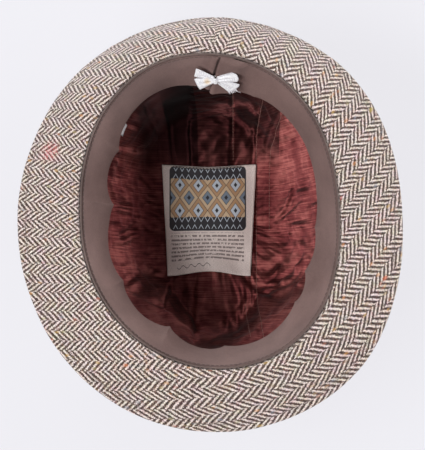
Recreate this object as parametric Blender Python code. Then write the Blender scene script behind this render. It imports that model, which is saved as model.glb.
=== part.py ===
"""A tweed hat that lies upside down on its crown, so that its opening faces up.

Metres, +Z up through the opening, +Y towards the back of the hat and +X towards the wearer's right.
The origin is on the floor, under the middle of the hat's outline.
Sizes are in millimetres up to the point where a mesh is made. Angles are in degrees round the hat,
counterclockwise seen into the opening, from +X: the back is at 90 and the front at 270.
"""

import math
from collections import namedtuple

import bmesh
import bpy
from mathutils import Vector
from mathutils.bvhtree import BVHTree

MM = 0.001

# ---- Driving sizes, in millimetres ----
CROWN_HEIGHT = 108.0  # floor to the brim's inner edge
CROWN_WALL = 2.2  # tweed with its interlining
BRIM_WIDTH = 43.8  # along the cloth, from the inner edge to the outer one
BRIM_WALL = 3.0  # two layers of tweed
LINING_WALL = 1.0
BAND_WIDTH = 34.0  # sweatband, along its section
BAND_WALL = 1.2
PIPING_RADIUS = 1.1
PIPING_SINK = 0.6  # its middle below the brim's inner edge
LABEL_WALL = 0.8
TAG_WALL = 0.6
GAP = 0.35  # between pieces that lie on each other

# ---- How finely the cloth is divided ----
STEPS_ROUND = 60
BAND_STEPS_ROUND = 120
BRIM_STEPS = 5

# The head opening and the brim, one row for each 22.5 degrees.
# break_radius: from the middle of the opening to the brim's inner edge
# slope_in, slope_out: how steeply the brim falls just past its inner edge, and at its outer edge, degrees
Station = namedtuple("Station", "degrees break_radius slope_in slope_out")
STATIONS = [
    Station(0.0, 84.3, 3, 24),
    Station(22.5, 86.2, 4, 27),
    Station(45.0, 93.1, 6, 44),
    Station(67.5, 100.4, 12, 66),
    Station(90.0, 103.8, 18, 71),
    Station(112.5, 103.2, 19, 72),
    Station(135.0, 96.5, 14, 58),
    Station(157.5, 88.6, 8, 41),
    Station(180.0, 84.7, 4, 21),
    Station(202.5, 87.1, 3, 18),
    Station(225.0, 91.6, 3, 11),
    Station(247.5, 97.3, 3, 14),
    Station(270.0, 101.9, 3, 26),
    Station(292.5, 102.8, 3, 28),
    Station(315.0, 98.1, 3, 15),
    Station(337.5, 89.4, 3, 18),
]
BRIM_LEAD = 0.15  # share of the brim's width over which it turns from level to slope_in

# The crown's outer face from the brim down the wall, over the shoulder and across the tip.
# height: above the floor; inset: inwards from the break radius; share: of the radius that is left;
# slack: how far the loose lining stands off the crown there
Section = namedtuple("Section", "height inset share slack")
CROWN_SECTIONS = [
    Section(CROWN_HEIGHT - BRIM_WALL - 0.6, -2.4, 1.0, 0.0),
    Section(92.0, 0.5, 1.0, 0.0),
    Section(76.0, 4.4, 1.0, 0.0),
    Section(60.0, 9.2, 1.0, 0.2),
    Section(44.0, 14.8, 1.0, 0.5),
    Section(30.0, 20.2, 1.0, 0.8),
    Section(18.0, 25.2, 1.0, 1.2),
    Section(9.0, 29.8, 1.0, 2.0),
    Section(2.8, 34.4, 1.0, 3.2),
    Section(0.0, 39.2, 1.0, 4.2),
    Section(0.0, 44.0, 1.0, 4.6),
    Section(2.6, 44.0, 0.9, 3.4),
    Section(8.6, 44.0, 0.73, 1.6),
    Section(12.6, 44.0, 0.5, 0.6),
    Section(13.8, 44.0, 0.25, 0.3),
    Section(14.0, 44.0, 0.0, 0.3),
]
RIM_FOLLOWS = 3.2  # the crown's rim keeps under the sloping brim: its width, by the sine of slope_in
LINING_FROM = 0.8  # the lining starts this many sections below the crown's rim
END_INSET = 0.88  # the crown leans in this much less at the front and back than at the sides

# Where the loose lining puckers up off the crown: the fold's middle and its spread, round the hat and along the
# section, and how far it stands up there.
Fold = namedtuple("Fold", "degrees place spread_degrees spread_place height")
LINING_FOLDS = [
    Fold(8.0, 4.2, 8.0, 0.8, 1.8),
    Fold(50.0, 3.3, 9.0, 0.6, 2.0),
    Fold(76.0, 3.8, 7.0, 0.8, 1.8),
    Fold(104.0, 4.0, 8.0, 0.8, 1.6),
    Fold(150.0, 3.6, 8.0, 0.7, 1.8),
    Fold(180.0, 3.5, 8.0, 0.7, 1.8),
    Fold(198.0, 4.8, 8.0, 0.8, 2.2),
    Fold(237.0, 4.0, 9.0, 0.8, 1.8),
    Fold(262.0, 4.6, 7.0, 1.0, 1.6),
    Fold(318.0, 4.0, 9.0, 0.8, 2.0),
    Fold(339.0, 5.0, 8.0, 0.8, 2.2),
]

# Where the front of the crown is pinched in, on both sides.
Pinch = namedtuple("Pinch", "degrees spread height half_height depth")
PINCHES = [
    Pinch(238.0, 17.0, 26.0, 34.0, 9.0),
    Pinch(302.0, 17.0, 26.0, 34.0, 9.0),
]

# The sweatband's free edge: it is longer than the crown is round there, so it stands in cusps and lobes.
# cusp_inset: inwards from the break radius at the cusp; lobe_inset: midway to the next cusp
Scallop = namedtuple("Scallop", "degrees cusp_inset lobe_inset")
SCALLOPS = [
    Scallop(70.0, 15.4, 12.4),
    Scallop(89.0, 19.8, 10.8),
    Scallop(145.0, 17.4, 13.4),
    Scallop(174.0, 20.0, 14.3),
    Scallop(217.0, 16.8, 12.6),
    Scallop(250.0, 19.0, 12.0),
    Scallop(276.0, 14.8, 13.2),
    Scallop(314.0, 17.6, 16.2),
    Scallop(329.0, 19.3, 15.0),
    Scallop(353.0, 15.2, 10.8),
]
SCALLOP_ROUNDNESS = 0.6  # below 1, so that the lobes are full and the cusps narrow
BAND_TOP_DEPTH = 2.1  # below the brim's inner edge
BAND_TOP_INSET = 2.4
BAND_BASE_INSET = 12.0  # of the free edge where it neither stands in nor out
BAND_SECTIONS = (0.0, 0.35, 0.7, 1.0)
BAND_CURL = 1.6  # how fast the scallops die out up the band

# The label on the lining's tip.
LABEL_BACK_WIDTH = 66.0
LABEL_FRONT_WIDTH = 58.0
LABEL_LENGTH = 80.0
LABEL_MIDDLE = (-3.0, 0.8)  # from the middle of the opening
LABEL_STEPS = 10
LABEL_GAP = 0.7  # more than GAP, because its facets don't match the lining's

# The size tag that looks out from behind the sweatband.
TAG_DEGREES = (131.0, 138.0)
TAG_SPAN = (0.74, 1.24)  # along the band's section, past its free edge
TAG_STAND_OFF = 0.4
TAG_STEPS = 3

# The ribbon bow over the sweatband's joint, in a plane of its own that leans less than the band.
BOW_DEGREES = 88.0
BOW_PLACE = 0.7  # along the band's section
BOW_TILT = 48.0  # of the bow's plane from level
BOW_STAND_OFF = 2.9
KNOT_SIZE = (4.6, 5.6, 3.0)
RIBBON_WALL = 0.8
ARM_ROOT_WIDTH = 3.6
ARM_STEPS = 4
# across, up: where the arm's end lies from the knot; root, lift: how far it stands out at the knot, and at its end
Arm = namedtuple("Arm", "name across up end_width root lift")
ARMS = [
    Arm("ribbon_end_left", -13.4, 7.4, 7.4, -0.7, 1.0),
    Arm("ribbon_loop_left", -12.4, -3.6, 7.0, 0.7, 0.9),
    Arm("ribbon_loop_right", 14.4, 4.2, 7.4, 0.7, 2.0),
    Arm("ribbon_end_right", 13.6, -7.6, 7.4, -0.7, -0.4),
]

# ---- Finishes: colour (linear RGB), roughness ----
Finish = namedtuple("Finish", "colour roughness")
FINISHES = {
    "tweed": Finish((0.36, 0.31, 0.27), 0.95),
    "sweatband_cloth": Finish((0.16, 0.11, 0.105), 0.7),
    "piping_cloth": Finish((0.11, 0.075, 0.07), 0.7),
    "lining_satin": Finish((0.17, 0.03, 0.035), 0.35),
    "label_cloth": Finish((0.62, 0.55, 0.46), 0.85),
    "white_tape": Finish((0.82, 0.8, 0.78), 0.6),
}


# ---- Rules that the surfaces follow ----
def smooth_curve(a, b, c, d, t):
    """Catmull-Rom between b and c."""
    return b + 0.5 * t * (c - a + t * (2 * a - 5 * b + 4 * c - d + t * (3 * (b - c) + d - a)))


def around(column, degrees):
    """A column of STATIONS at any angle, on a closed smooth curve through its rows."""
    place = (degrees % 360.0) / (360.0 / len(STATIONS))
    row = int(place)
    near = [getattr(STATIONS[(row + k) % len(STATIONS)], column) for k in (-1, 0, 1, 2)]
    return smooth_curve(*near, place - row)


def down(column, place):
    """A column of CROWN_SECTIONS at any place along the section, from 0 at the crown's rim."""
    last = len(CROWN_SECTIONS) - 1
    row = min(int(place), last - 1)
    near = [getattr(CROWN_SECTIONS[min(max(row + k, 0), last)], column) for k in (-1, 0, 1, 2)]
    return smooth_curve(*near, place - row)


def polar(degrees, radius, height):
    turn = math.radians(degrees)
    return Vector((radius * math.cos(turn), radius * math.sin(turn), height))


def angle_between(a, b):
    return (a - b + 180.0) % 360.0 - 180.0


def pinched_in(degrees, height):
    """How far the front pinches push the crown in."""
    total = 0.0
    for pinch in PINCHES:
        away = angle_between(degrees, pinch.degrees) / pinch.spread
        above = (height - pinch.height) / pinch.half_height
        total += pinch.depth * math.exp(-away * away - above * above)
    return total


def crown_face(degrees, place):
    """The crown's outer face."""
    height = max(down("height", place), 0.0)
    height -= RIM_FOLLOWS * math.sin(math.radians(around("slope_in", degrees))) * max(1.0 - place, 0.0)
    lean = 1.0 - (1.0 - END_INSET) * math.sin(math.radians(degrees)) ** 2
    inset = down("inset", place)
    inset = inset * lean if inset > 0.0 else inset
    radius = around("break_radius", degrees) - inset - pinched_in(degrees, height)
    return polar(degrees, radius * max(down("share", place), 0.0), height)


def brim_slope(degrees, share):
    start = around("slope_in", degrees)
    end = around("slope_out", degrees)
    return math.radians(start * min(1.0, share / BRIM_LEAD) + (end - start) * share)


def brim_face(degrees, share, fine_steps=24):
    """The brim's face beside the opening, at a share of its width: the section is bent, not stretched."""
    radius = around("break_radius", degrees)
    height = CROWN_HEIGHT
    step = BRIM_WIDTH * share / fine_steps
    for k in range(fine_steps):
        slope = brim_slope(degrees, share * (k + 0.5) / fine_steps)
        radius += step * math.cos(slope)
        height -= step * math.sin(slope)
    return polar(degrees, radius, height)


def edge_inset(degrees):
    """How far inside the break radius the sweatband's free edge stands."""
    for k, here in enumerate(SCALLOPS):
        after = SCALLOPS[(k + 1) % len(SCALLOPS)]
        span = (after.degrees - here.degrees) % 360.0
        share = ((degrees - here.degrees) % 360.0) / span
        if share < 1.0:
            cusps = here.cusp_inset + (after.cusp_inset - here.cusp_inset) * share
            fullness = (here.cusp_inset + after.cusp_inset) / 2.0 - here.lobe_inset
            return cusps - fullness * math.sin(math.pi * share) ** SCALLOP_ROUNDNESS
    return BAND_BASE_INSET


def band_face(degrees, place):
    """The sweatband's face towards the head, from 0 at its top to 1 at its free edge."""
    edge = edge_inset(degrees)
    lean = BAND_TOP_INSET + (BAND_BASE_INSET - BAND_TOP_INSET) * place
    inset = lean + (edge - BAND_BASE_INSET) * place**BAND_CURL
    fall = math.sqrt(BAND_WIDTH**2 - (edge - BAND_TOP_INSET) ** 2) * place
    return polar(degrees, around("break_radius", degrees) - inset, CROWN_HEIGHT - BAND_TOP_DEPTH - fall)


def face_normal(face, degrees, place):
    """Out of the hat, square to a face, worked out from points close by."""
    turn = 0.5
    along = 0.02
    here = face(degrees, place)
    round_it = face(degrees + turn, place) - face(degrees - turn, place)
    down_it = face(degrees, place + along) - here
    normal = down_it.cross(round_it)
    return normal.normalized() if normal.length > 1e-6 else Vector((0.0, 0.0, -1.0))


def moved_in(face, distance):
    """The face moved that far towards the inside of the hat."""

    def inner(degrees, place):
        return face(degrees, place) - face_normal(face, degrees, place) * distance

    return inner


def puckered_up(degrees, place):
    """How far the lining's folds stand up."""
    total = 0.0
    for fold in LINING_FOLDS:
        away = angle_between(degrees, fold.degrees) / fold.spread_degrees
        along = (place - fold.place) / fold.spread_place
        total += fold.height * math.exp(-away * away - along * along)
    return total


def lining_layer(depth):
    """A face of the loose lining, at a depth into its cloth from the side that lies on the crown."""

    def inner(degrees, place):
        away = CROWN_WALL + GAP + down("slack", place) + puckered_up(degrees, place) + depth
        return crown_face(degrees, place) - face_normal(crown_face, degrees, place) * away

    return inner


# ---- Making meshes ----
def skin(mesh, point, columns, rows):
    """A grid laid over point(column, row). It is closed where its two sides, or a whole row, meet."""
    across = len(columns) - 1
    along = len(rows) - 1
    made = bmesh.ops.create_grid(mesh, x_segments=across, y_segments=along, size=0.5)["verts"]
    for vert in made:
        column = columns[round((vert.co.x + 0.5) * across)]
        row = rows[round((vert.co.y + 0.5) * along)]
        vert.co = (point(column, row) - OUTLINE_MIDDLE) * MM
    bmesh.ops.remove_doubles(mesh, verts=made, dist=0.01 * MM)


def wall(outer, inner, columns, rows):
    """A piece of cloth with its thickness: two skins, joined along their open edges."""
    mesh = bmesh.new()
    skin(mesh, outer, columns, rows)
    outer_faces = set(mesh.faces)
    skin(mesh, inner, columns, rows)
    inner_faces = [face for face in mesh.faces if face not in outer_faces]
    bmesh.ops.reverse_faces(mesh, faces=inner_faces)
    rims = sorted(open_loops(mesh), key=mean_radius)
    for first, second in zip(rims[0::2], rims[1::2]):
        bmesh.ops.bridge_loops(mesh, edges=first + second)
    bmesh.ops.recalc_face_normals(mesh, faces=mesh.faces)
    return mesh


def open_loops(mesh):
    """The mesh's open edges, one list for each loop of them."""
    loops = []
    left = {edge for edge in mesh.edges if edge.is_boundary}
    while left:
        loop = []
        ahead = [left.pop()]
        while ahead:
            edge = ahead.pop()
            loop.append(edge)
            beside = {other for vert in edge.verts for other in vert.link_edges} & left
            left -= beside
            ahead.extend(beside)
        loops.append(loop)
    return loops


def mean_radius(loop):
    """Puts the two skins' loops at one rim of a ring beside each other."""
    return sum(edge.verts[0].co.xy.length for edge in loop) / len(loop)


def material(name):
    made = bpy.data.materials.get(name)
    if made is None:
        finish = FINISHES[name]
        made = bpy.data.materials.new(name)
        made.use_nodes = True
        shader = made.node_tree.nodes["Principled BSDF"]
        shader.inputs["Base Color"].default_value = (*finish.colour, 1.0)
        shader.inputs["Roughness"].default_value = finish.roughness
        shader.inputs["Metallic"].default_value = 0.0
        made.diffuse_color = (*finish.colour, 1.0)
    return made


def add_object(name, data, finish):
    data.materials.append(material(finish))
    made = bpy.data.objects.new(name, data)
    bpy.context.scene.collection.objects.link(made)
    return made


def add_mesh(name, mesh, finish):
    """Turns a bmesh into a named object with its finish, shaded smooth."""
    data = bpy.data.meshes.new(name)
    mesh.to_mesh(data)
    mesh.free()
    data.shade_smooth()
    data.set_sharp_from_angle(angle=math.radians(50))
    return add_object(name, data, finish)


def steps(first, last, count):
    return [first + (last - first) * k / count for k in range(count + 1)]


# ---- The pieces ----
def crown():
    rows = list(range(len(CROWN_SECTIONS)))
    mesh = wall(crown_face, moved_in(crown_face, CROWN_WALL), steps(0, 360, STEPS_ROUND), rows)
    return add_mesh("crown", mesh, "tweed")


def lining():
    rows = [LINING_FROM, *range(2, len(CROWN_SECTIONS))]
    mesh = wall(lining_layer(0.0), lining_layer(LINING_WALL), steps(0, 360, STEPS_ROUND), rows)
    return add_mesh("lining", mesh, "lining_satin")


def brim():
    def top_side(degrees, share):
        """The face that is uppermost when the hat is worn, square across the cloth from the other."""
        slope = brim_slope(degrees, share)
        across = polar(degrees, math.sin(slope), math.cos(slope))
        return brim_face(degrees, share) - across * BRIM_WALL

    mesh = wall(brim_face, top_side, steps(0, 360, STEPS_ROUND), steps(0.0, 1.0, BRIM_STEPS))
    return add_mesh("brim", mesh, "tweed")


def sweatband():
    back = moved_in(band_face, -BAND_WALL)
    mesh = wall(back, band_face, steps(0, 360, BAND_STEPS_ROUND), BAND_SECTIONS)
    return add_mesh("sweatband", mesh, "sweatband_cloth")


def sweatband_piping():
    """A corded edge that fills the corner between the brim and the sweatband."""
    curve = bpy.data.curves.new("sweatband_piping", "CURVE")
    curve.dimensions = "3D"
    curve.bevel_depth = PIPING_RADIUS * MM
    curve.bevel_resolution = 1
    line = curve.splines.new("POLY")
    line.points.add(STEPS_ROUND - 1)
    line.use_cyclic_u = True
    for k, point in enumerate(line.points):
        degrees = k * 360.0 / STEPS_ROUND
        radius = around("break_radius", degrees) - PIPING_RADIUS - GAP
        place = (polar(degrees, radius, CROWN_HEIGHT - PIPING_SINK) - OUTLINE_MIDDLE) * MM
        point.co = (*place, 1.0)
    return add_object("sweatband_piping", curve, "piping_cloth")


def label(below):
    """A woven label that lies on the lining."""
    surface = BVHTree.FromObject(below, bpy.context.evaluated_depsgraph_get())

    def lying(height):
        def point(across, along):
            width = LABEL_FRONT_WIDTH + (LABEL_BACK_WIDTH - LABEL_FRONT_WIDTH) * (along + 0.5)
            plan = Vector((LABEL_MIDDLE[0] + across * width, LABEL_MIDDLE[1] + along * LABEL_LENGTH, 0.0))
            start = (plan - OUTLINE_MIDDLE) * MM
            start.z = CROWN_HEIGHT * MM
            place, normal, _, _ = surface.ray_cast(start, Vector((0.0, 0.0, -1.0)))
            return plan + Vector((0.0, 0.0, place.z / MM + height / normal.z))

        return point

    span = steps(-0.5, 0.5, LABEL_STEPS)
    mesh = wall(lying(LABEL_GAP), lying(LABEL_GAP + LABEL_WALL), span, span)
    return add_mesh("label", mesh, "label_cloth")


def size_tag():
    near = BAND_WALL + TAG_STAND_OFF
    mesh = wall(
        moved_in(band_face, -near - TAG_WALL),
        moved_in(band_face, -near),
        steps(*TAG_DEGREES, TAG_STEPS),
        steps(*TAG_SPAN, TAG_STEPS),
    )
    return add_mesh("size_tag", mesh, "white_tape")


def bow_frame():
    """The bow's middle, and its directions across, up and towards the opening."""
    turn = math.radians(BOW_DEGREES)
    tilt = math.radians(BOW_TILT)
    across = Vector((math.sin(turn), -math.cos(turn), 0.0))
    up = Vector((math.cos(turn) * math.cos(tilt), math.sin(turn) * math.cos(tilt), math.sin(tilt)))
    middle = moved_in(band_face, BOW_STAND_OFF)(BOW_DEGREES, BOW_PLACE)
    return middle, across, up, across.cross(up)


def ribbon_knot():
    middle, across, up, out = bow_frame()
    mesh = bmesh.new()
    bmesh.ops.create_cube(mesh, size=1.0)
    for vert in mesh.verts:
        x, y, z = (size * share for size, share in zip(KNOT_SIZE, vert.co))
        vert.co = (middle + across * x + up * y + out * z - OUTLINE_MIDDLE) * MM
    bmesh.ops.bevel(
        mesh, geom=mesh.edges[:], offset=0.9 * MM, segments=2, profile=0.5, affect="EDGES", material=-1
    )
    return add_mesh("ribbon_knot", mesh, "white_tape")


def ribbon_arm(arm):
    middle, across, up, out = bow_frame()
    reach = math.hypot(arm.across, arm.up)
    forward = (across * arm.across + up * arm.up) / reach
    sideways = out.cross(forward)
    root = (KNOT_SIZE[0] / 2.0 + GAP) * reach / abs(arm.across)

    def layer(height):
        def point(share, side):
            width = ARM_ROOT_WIDTH + (arm.end_width - ARM_ROOT_WIDTH) * share**0.7
            along = root + (reach - root) * share
            stand = height + arm.root + (arm.lift - arm.root) * share**2
            return middle + forward * along + sideways * side * width + out * stand

        return point

    rows = (-0.5, 0.0, 0.5)
    mesh = wall(layer(-RIBBON_WALL / 2.0), layer(RIBBON_WALL / 2.0), steps(0, 1, ARM_STEPS), rows)
    return add_mesh(arm.name, mesh, "white_tape")


def clear_scene():
    for thing in list(bpy.data.objects):
        bpy.data.objects.remove(thing)


def outline_middle():
    """The middle of the box round the brim's edge, which is where the origin goes."""
    edge = [brim_face(degrees, 1.0) for degrees in steps(0, 360, STEPS_ROUND)]
    x, y = ([point[axis] for point in edge] for axis in (0, 1))
    return Vector(((min(x) + max(x)) / 2.0, (min(y) + max(y)) / 2.0, 0.0))


clear_scene()
OUTLINE_MIDDLE = outline_middle()
crown()
lining_object = lining()
brim()
sweatband()
sweatband_piping()
label(lining_object)
size_tag()
ribbon_knot()
for ribbon in ARMS:
    ribbon_arm(ribbon)
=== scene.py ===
"""The finished look of a tweed hat that lies upside down on its crown: cloth, lining, sweatband, label and bow.

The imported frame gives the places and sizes: metres, +Z up through the opening, +Y towards the back of the hat.
Sizes below are in millimetres and points are from the middle of the opening. Angles are in degrees round it,
counterclockwise from +X, so that the back is at 90 and the front at 270. A place along a section counts the rows
of its table, from 0 at the crown's rim to the middle of its tip.
"""

import math
import random
from collections import namedtuple
from functools import partial

import bmesh
import bpy
import numpy as np
from mathutils import Matrix, Vector, noise
from mathutils.bvhtree import BVHTree


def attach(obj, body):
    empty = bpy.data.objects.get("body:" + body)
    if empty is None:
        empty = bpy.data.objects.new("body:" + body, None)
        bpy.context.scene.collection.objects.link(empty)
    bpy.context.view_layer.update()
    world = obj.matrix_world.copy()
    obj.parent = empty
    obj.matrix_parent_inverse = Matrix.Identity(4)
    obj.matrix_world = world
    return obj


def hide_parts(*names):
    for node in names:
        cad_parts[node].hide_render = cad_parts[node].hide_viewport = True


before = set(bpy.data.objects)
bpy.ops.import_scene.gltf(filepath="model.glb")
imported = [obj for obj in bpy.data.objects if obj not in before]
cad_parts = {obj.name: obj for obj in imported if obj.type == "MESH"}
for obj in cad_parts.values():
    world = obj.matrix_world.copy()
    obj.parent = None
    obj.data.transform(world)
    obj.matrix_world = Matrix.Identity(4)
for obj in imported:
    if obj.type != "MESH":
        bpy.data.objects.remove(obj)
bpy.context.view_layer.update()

MM = 0.001
random.seed(7)

# ---- Sizes of the hat, as the frame has them ----
CROWN_HEIGHT = 108.0
CROWN_WALL = 2.2
BRIM_WIDTH = 43.8
BRIM_WALL = 3.0
LINING_WALL = 1.0
BAND_WIDTH = 34.0  # the sweatband's
BAND_WALL = 1.2
PIPING_RADIUS = 0.7
PIPING_SINK = 0.3
PIPING_INSET = 0.5

# Every 22.5 degrees round the opening: the radius where the crown's wall breaks into the brim, and how steeply the
# brim falls at its inner and its outer edge
Station = namedtuple("Station", "break_radius slope_in slope_out")
STATIONS = [Station(*row) for row in (
    (84.3, 3, 24), (86.2, 4, 27), (93.1, 6, 44), (100.4, 12, 66),
    (103.8, 18, 71), (103.2, 19, 72), (96.5, 14, 58), (88.6, 8, 41),
    (84.7, 4, 21), (87.1, 3, 18), (91.6, 3, 11), (97.3, 3, 14),
    (101.9, 3, 26), (102.8, 3, 28), (98.1, 3, 15), (89.4, 3, 18),
)]
BRIM_LEAD = 0.15  # the share of its width in which the brim gets to its inner slope
BRIM_FROM = 0.018  # the share of its width that is left for the piping

# Down the crown and in over its tip: the height, how far inside the break radius, and the share of what is left
Section = namedtuple("Section", "height inset share")
CROWN_SECTIONS = [Section(*row) for row in (
    (CROWN_HEIGHT - BRIM_WALL - 0.6, -2.4, 1.0), (92.0, 0.5, 1.0), (76.0, 4.4, 1.0), (60.0, 9.2, 1.0),
    (44.0, 14.8, 1.0), (30.0, 20.2, 1.0), (18.0, 25.2, 1.0), (9.0, 29.8, 1.0),
    (2.8, 34.4, 1.0), (0.0, 39.2, 1.0), (0.0, 44.0, 1.0), (2.6, 44.0, 0.9),
    (8.6, 44.0, 0.73), (12.6, 44.0, 0.5), (13.8, 44.0, 0.25), (14.0, 44.0, 0.0),
)]
LINING_SECTIONS = [Section(*row) for row in (
    (104.0, 1.2, 1.0), (92.8, 3.9, 1.0), (77.0, 7.9, 1.0), (61.2, 12.8, 1.0),
    (45.5, 18.7, 1.0), (32.0, 24.3, 1.0), (21.0, 29.4, 1.0), (13.4, 34.2, 1.0),
    (9.2, 39.0, 1.0), (8.2, 44.0, 1.0), (9.2, 44.0, 0.9), (11.2, 44.0, 0.79),
    (14.0, 44.0, 0.63), (16.7, 44.0, 0.43), (17.8, 44.0, 0.21), (18.0, 44.0, 0.0),
)]
LAST_PLACE = len(CROWN_SECTIONS) - 1.0  # the middle of the tip
LINING_FROM = 0.8  # the place where the lining's upper edge is sewn in
RIM_FOLLOWS = 3.2  # how far the crown's rim goes down with the brim's inner slope
END_INSET = 0.88  # the insets at the front and the back, as a share of those at the sides

Pinch = namedtuple("Pinch", "degrees spread height half_height depth")
PINCHES = [Pinch(degrees, 17.0, 26.0, 34.0, 9.0) for degrees in (238.0, 302.0)]

# The cusps of the sweatband's free edge, and the lobe from each to the next: how far both stand in
Scallop = namedtuple("Scallop", "degrees cusp_inset lobe_inset")
SCALLOPS = [Scallop(*row) for row in (
    (70.0, 15.6, 17.2), (89.0, 20.8, 11.2), (145.0, 17.4, 13.4), (174.0, 20.0, 14.3), (217.0, 16.8, 12.6),
    (250.0, 19.0, 12.0), (276.0, 14.8, 13.2), (314.0, 17.6, 16.2), (329.0, 19.3, 15.0), (353.0, 15.2, 10.8),
)]
SCALLOP_ROUNDNESS = 0.6
BAND_TOP_DEPTH = 1.7
BAND_TOP_INSET = 1.7
BAND_BASE_INSET = 12.0
BAND_CURL = 1.6

LABEL_BACK_WIDTH = 67.8
LABEL_FRONT_WIDTH = 59.5
LABEL_LENGTH = 80.0
LABEL_MIDDLE = (-2.3, 0.8)
LABEL_WALL = 0.8
LABEL_GAP = 0.7

TAG_DEGREES = (132.2, 137.4)
TAG_SPAN = (0.74, 1.21)  # down the sweatband, in shares of its width
TAG_STAND_OFF = 0.4
TAG_WALL = 0.6

BOW_DEGREES = 88.1
BOW_PLACE = 0.61
BOW_TILT = 48.0
BOW_STAND_OFF = 3.4

# ---- How the cloth is cut and sewn ----
BACK_SEAM = 88.4  # where the brim's and the crown's ends meet
EDGE_STITCHING = 5.0  # in from the brim's outer edge
STITCH_LENGTH = 3.0
PRESSED_HALF_WIDTH = 0.9  # of the line that a row of stitches or a seam presses into the cloth
STRIP_HALF_WIDTH = 31.0  # of the crown's middle strip, from front to back over the top
CROWN_CORNER = 9.0  # the place along its section where the crown's wall meets its top
SIDE_CUT_RADIUS = 84.0  # at which the columns of the crown's side panels are counted off round it
STRIP_CUT_AT = 300.0  # of the middle strip in the flat cloth, clear of the side panels
FINE_TURNS = 12  # short steps to measure the way round the crown's wall in
CUT_RADIUS = 136.0  # of the inner edge of the brim as it is cut, a flat C
CUT_TURN = 0.69  # of the cut C round its middle, for each turn of the sewn brim
LEFT_CUT_TURN, LEFT_FROM = 0.095, 248.0  # more of it on the left, where the cloth is eased in
GRAIN_DEGREES = 165.5  # to the front of the cut C, from straight across the herringbone's columns
SECOND_LAYER = 211.0  # from one layer of the brim to the other in the flat cloth


# ---- Rules that the surfaces follow, for arrays of angles and places ----
def down(rows, column, place, closed=False):
    """A column of a table at any place between its rows, on a smooth (Catmull-Rom) curve. A closed one comes round
    to its first row again."""
    values = np.array([getattr(row, column) for row in rows], dtype=float)
    last = len(rows) - 1
    row = np.floor(place).astype(int)
    row = row if closed else np.clip(row, 0, last - 1)
    near = (row + k for k in (-1, 0, 1, 2))
    a, b, c, d = (values[spot % len(rows) if closed else np.clip(spot, 0, last)] for spot in near)
    t = place - row
    return b + 0.5 * t * (c - a + t * (2 * a - 5 * b + 4 * c - d + t * (3 * (b - c) + d - a)))


def around(column, degrees):
    """A column of STATIONS at any angle."""
    return down(STATIONS, column, (degrees % 360.0) / (360.0 / len(STATIONS)), closed=True)


def polar(degrees, radius, height):
    """The point at an angle, a radius and a height."""
    turn = np.radians(degrees)
    return np.stack(np.broadcast_arrays(radius * np.cos(turn), radius * np.sin(turn), height), axis=-1)


def angle_between(a, b):
    """From b to a the shorter way round."""
    return (a - b + 180.0) % 360.0 - 180.0


def bump(away):
    """A soft bump of height 1 that is gone at about 2 from its middle."""
    return np.exp(-away * away)


def eased(share):
    """From 0 to 1, level at both ends."""
    share = np.clip(share, 0.0, 1.0)
    return share * share * (3.0 - 2.0 * share)


def pinched_in(degrees, height):
    """How far the two front pinches press the crown's wall in."""
    return sum(
        pinch.depth
        * bump(angle_between(degrees, pinch.degrees) / pinch.spread)
        * bump((height - pinch.height) / pinch.half_height)
        for pinch in PINCHES
    )


def crown_face(degrees, place, sections=CROWN_SECTIONS):
    """The crown's outer face, or the lining's with its own sections."""
    height = np.clip(down(sections, "height", place), 0.0, None)
    slope = np.radians(around("slope_in", degrees))
    height = height - RIM_FOLLOWS * np.sin(slope) * np.clip(1.0 - place, 0.0, None)
    lean = 1.0 - (1.0 - END_INSET) * np.sin(np.radians(degrees)) ** 2
    inset = down(sections, "inset", place)
    inset = np.where(inset > 0.0, inset * lean, inset)
    radius = around("break_radius", degrees) - inset - pinched_in(degrees, height)
    return polar(degrees, radius * np.clip(down(sections, "share", place), 0.0, 1.0), height)


def brim_slope(degrees, share):
    """How steeply the brim falls at a share of its width, in radians."""
    start = around("slope_in", degrees)
    end = around("slope_out", degrees)
    return np.radians(start * np.minimum(1.0, share / BRIM_LEAD) + (end - start) * share)


def brim_face(degrees, share, fine_steps=24):
    """The brim's face beside the opening, at a share of its width: the section is bent, not stretched."""
    radius = around("break_radius", degrees)
    height = CROWN_HEIGHT
    step = BRIM_WIDTH * share / fine_steps
    for k in range(fine_steps):
        slope = brim_slope(degrees, share * (k + 0.5) / fine_steps)
        radius = radius + step * np.cos(slope)
        height = height - step * np.sin(slope)
    return polar(degrees, radius, height)


def edge_inset(degrees):
    """How far inside the break radius the sweatband's free edge stands."""
    inset = np.full(np.shape(degrees), BAND_BASE_INSET)
    for here, after in zip(SCALLOPS, SCALLOPS[1:] + SCALLOPS[:1]):
        share = ((degrees - here.degrees) % 360.0) / ((after.degrees - here.degrees) % 360.0)
        cusps = here.cusp_inset + (after.cusp_inset - here.cusp_inset) * share
        fullness = (here.cusp_inset + after.cusp_inset) / 2.0 - here.lobe_inset
        lobe = cusps - fullness * np.sin(np.pi * np.clip(share, 0.0, 1.0)) ** SCALLOP_ROUNDNESS
        inset = np.where(share < 1.0, lobe, inset)
    return inset


def band_face(degrees, place):
    """The sweatband's face towards the head, from 0 at its top to 1 at its free edge."""
    edge = edge_inset(degrees)
    lean = BAND_TOP_INSET + (BAND_BASE_INSET - BAND_TOP_INSET) * place
    inset = lean + (edge - BAND_BASE_INSET) * np.clip(place, 0.0, None) ** BAND_CURL
    fall = np.sqrt(BAND_WIDTH**2 - (edge - BAND_TOP_INSET) ** 2) * place
    return polar(degrees, around("break_radius", degrees) - inset, CROWN_HEIGHT - BAND_TOP_DEPTH - fall)


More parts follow.
